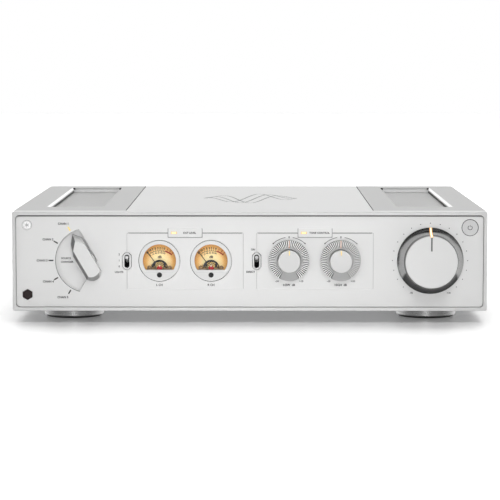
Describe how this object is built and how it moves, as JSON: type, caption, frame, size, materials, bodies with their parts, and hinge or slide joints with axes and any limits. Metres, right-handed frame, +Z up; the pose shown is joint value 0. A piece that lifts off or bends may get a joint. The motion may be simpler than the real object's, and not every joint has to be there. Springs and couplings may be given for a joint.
{
  "type": "integrated amplifier",
  "caption": "Low silver hi-fi amplifier with a pointed source selector, twin needle meters, finned tone controls and a large coved volume knob.",
  "frame": {"origin": "on the table under the middle of the whole object, knobs and rear terminals included", "axes": "+X to the right as seen from the front, +Y to the back, +Z up"},
  "size_m": [0.43, 0.391, 0.102],
  "materials": {
    "case_aluminium": "fine bead-blasted, clear anodised",
    "panel_aluminium": "fine bead-blasted, clear anodised, slightly lighter than the case",
    "mesh_steel": "woven mesh, satin",
    "chassis_steel": "plated sheet",
    "turned_metal": "turned, satin",
    "rubber": "matt black",
    "knob_aluminium": "fine bead-blasted face, polished skirt on the volume knob",
    "warm_lens": "lit warm yellow",
    "ring_metal": "machined fins, bright",
    "switch_metal": "satin flange round a black slot",
    "chrome": "polished",
    "dark_window": "gloss, infra-red clear",
    "bezel_metal": "satin with a polished edge",
    "meter_glass": "clear",
    "dial_card": "printed card, lit warm from above",
    "needle_black": "matt black",
    "black_plastic": "fine matt",
    "winding": "taped ring winding",
    "circuit_board": "green solder mask",
    "heatsink_aluminium": "extruded, dark anodised",
    "terminal_metal": "plated",
    "red_cap": "fluted, gloss",
    "black_cap": "fluted, gloss"
  },
  "bodies": {
    "chassis": {"front_frame": "case_aluminium", "front_panel": "panel_aluminium", "left_casing": "case_aluminium", "right_casing": "case_aluminium", "top_plate": "case_aluminium", "left_vent_mesh": "mesh_steel", "right_vent_mesh": "mesh_steel", "bottom_plate": "chassis_steel", "rear_panel": "case_aluminium", "front_left_foot": "turned_metal", "front_right_foot": "turned_metal", "rear_left_foot": "turned_metal", "rear_right_foot": "turned_metal", "front_left_foot_pad": "rubber", "front_right_foot_pad": "rubber", "rear_left_foot_pad": "rubber", "rear_right_foot_pad": "rubber", "volume_encoder": "chassis_steel", "selector_switch": "black_plastic", "bass_ring": "ring_metal", "bass_pot": "chassis_steel", "treble_ring": "ring_metal", "treble_pot": "chassis_steel", "dimmer_switch": "switch_metal", "tone_switch": "switch_metal", "power_switch": "black_plastic", "remote_window": "dark_window", "left_meter_bezel": "bezel_metal", "left_meter_glass": "meter_glass", "left_meter_dial": "dial_card", "left_meter_body": "black_plastic", "right_meter_bezel": "bezel_metal", "right_meter_glass": "meter_glass", "right_meter_dial": "dial_card", "right_meter_body": "black_plastic", "mains_transformer": "winding", "main_board": "circuit_board", "left_heatsink": "heatsink_aluminium", "right_heatsink": "heatsink_aluminium", "speaker_terminals": "terminal_metal", "mains_inlet": "black_plastic", "input_sockets": "terminal_metal", "balanced_inputs": "black_plastic"},
    "volume": {"volume_knob": "knob_aluminium", "volume_light_bar": "warm_lens", "volume_shaft": "chassis_steel"},
    "selector": {"selector_handle": "knob_aluminium", "selector_shaft": "chassis_steel"},
    "bass": {"bass_knob": "knob_aluminium"},
    "treble": {"treble_knob": "knob_aluminium"},
    "dimmer_toggle": {"dimmer_lever": "chrome"},
    "tone_toggle": {"tone_lever": "chrome"},
    "power": {"power_button": "knob_aluminium"},
    "left_needle": {"left_meter_needle": "needle_black"},
    "right_needle": {"right_meter_needle": "needle_black"},
    "rocker": {"mains_rocker": "black_plastic"},
    "right_minus_cap": {"right_minus_terminal_cap": "black_cap"},
    "right_plus_cap": {"right_plus_terminal_cap": "red_cap"},
    "left_minus_cap": {"left_minus_terminal_cap": "black_cap"},
    "left_plus_cap": {"left_plus_terminal_cap": "red_cap"}
  },
  "joints": [
    {"name": "volume_turn", "type": "hinge", "parent": "chassis", "child": "volume", "pos_m": [0.1635, -0.1785, 0.0577], "axis": [0, 1, 0], "range_deg": [-150, 150]},
    {"name": "selector_turn", "type": "hinge", "parent": "chassis", "child": "selector", "pos_m": [-0.1468, -0.1785, 0.0577], "axis": [0, -1, 0], "range_deg": [0, 120]},
    {"name": "bass_turn", "type": "hinge", "parent": "chassis", "child": "bass", "pos_m": [0.0358, -0.1785, 0.0577], "axis": [0, 1, 0], "range_deg": [-150, 150]},
    {"name": "treble_turn", "type": "hinge", "parent": "chassis", "child": "treble", "pos_m": [0.0826, -0.1785, 0.0577], "axis": [0, 1, 0], "range_deg": [-150, 150]},
    {"name": "dimmer_tip", "type": "hinge", "parent": "chassis", "child": "dimmer_toggle", "pos_m": [-0.1112, -0.1697, 0.057], "axis": [1, 0, 0], "range_deg": [0, 36]},
    {"name": "tone_tip", "type": "hinge", "parent": "chassis", "child": "tone_toggle", "pos_m": [0.0064, -0.1697, 0.057], "axis": [1, 0, 0], "range_deg": [0, 36]},
    {"name": "power_press", "type": "slide", "parent": "chassis", "child": "power", "axis": [0, 1, 0], "range_m": [0, 0.0015], "stiffness_N_per_m": 600},
    {"name": "left_needle_swing", "type": "hinge", "parent": "chassis", "child": "left_needle", "pos_m": [-0.0818, -0.1732, 0.0502], "axis": [0, 1, 0], "range_deg": [0, 80], "stiffness_Nm_per_rad": 0.00002},
    {"name": "right_needle_swing", "type": "hinge", "parent": "chassis", "child": "right_needle", "pos_m": [-0.035, -0.1732, 0.0502], "axis": [0, 1, 0], "range_deg": [0, 80], "stiffness_Nm_per_rad": 0.00002},
    {"name": "mains_rocker_tip", "type": "hinge", "parent": "chassis", "child": "rocker", "pos_m": [-0.1465, 0.1688, 0.05575], "axis": [-1, 0, 0], "range_deg": [0, 18]},
    {"name": "right_minus_cap_screw", "type": "hinge", "parent": "chassis", "child": "right_minus_cap", "pos_m": [-0.074, 0.18, 0.05575], "axis": [0, 1, 0], "range_deg": [0, 1080]},
    {"name": "right_plus_cap_screw", "type": "hinge", "parent": "chassis", "child": "right_plus_cap", "pos_m": [-0.054, 0.18, 0.05575], "axis": [0, 1, 0], "range_deg": [0, 1080]},
    {"name": "left_minus_cap_screw", "type": "hinge", "parent": "chassis", "child": "left_minus_cap", "pos_m": [-0.022, 0.18, 0.05575], "axis": [0, 1, 0], "range_deg": [0, 1080]},
    {"name": "left_plus_cap_screw", "type": "hinge", "parent": "chassis", "child": "left_plus_cap", "pos_m": [-0.002, 0.18, 0.05575], "axis": [0, 1, 0], "range_deg": [0, 1080]}
  ]
}
